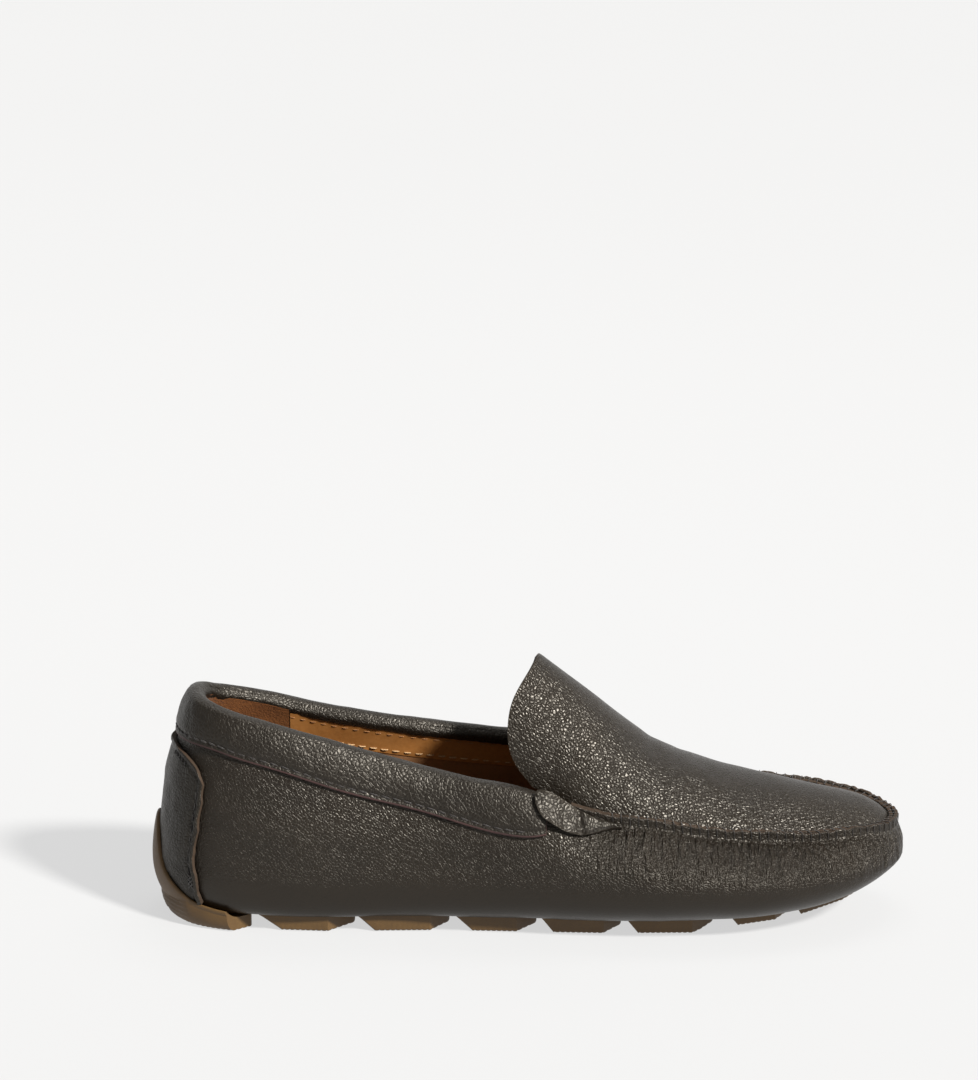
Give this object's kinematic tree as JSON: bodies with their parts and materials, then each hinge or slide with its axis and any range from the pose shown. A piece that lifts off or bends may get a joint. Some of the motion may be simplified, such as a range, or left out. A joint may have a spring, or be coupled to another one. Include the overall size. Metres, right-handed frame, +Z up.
{
  "type": "moccasin",
  "caption": "Right driving moccasin: gathered leather wrap, raised plug seam, tall tongue, padded collar, tan lining and rubber tread blocks with a heel guard.",
  "frame": {"origin": "on the ground under the middle of the shoe's length and width", "axes": "+X to the toe, +Z up, -Y to the outer side of a right foot"},
  "size_m": [0.2862, 0.0943, 0.1014],
  "materials": {
    "pebbled_leather": "pebbled grain with a soft gloss",
    "patch_leather": "darker grain leather, low gloss",
    "tan_leather": "smooth, satin",
    "brown_suede": "napped suede",
    "foam": "open foam",
    "counter_board": "pressed fibre board",
    "gum_rubber": "satin, moulded",
    "dark_thread": "waxed thread",
    "tan_thread": "waxed thread"
  },
  "bodies": {
    "root": {"wrap": "pebbled_leather", "apron": "pebbled_leather", "collar_band": "pebbled_leather", "topline_binding": "pebbled_leather", "heel_patch": "patch_leather", "apron_tab_lateral": "pebbled_leather", "apron_tab_medial": "pebbled_leather", "apron_lining": "tan_leather", "vamp_lining": "tan_leather", "quarter_lining_lateral": "tan_leather", "quarter_lining_medial": "tan_leather", "collar_lining_lateral": "tan_leather", "collar_lining_medial": "tan_leather", "sock_leather": "tan_leather", "heel_grip": "brown_suede", "collar_foam": "foam", "footbed_foam": "foam", "heel_cushion": "foam", "heel_counter": "counter_board", "insole_board": "counter_board", "front_sole_unit": "gum_rubber", "heel_sole_unit": "gum_rubber", "plug_seam_stitches": "dark_thread", "collar_seam_stitches": "dark_thread", "topline_stitches": "dark_thread", "heel_patch_stitches": "dark_thread", "lining_stitches": "tan_thread"}
  },
  "joints": []
}
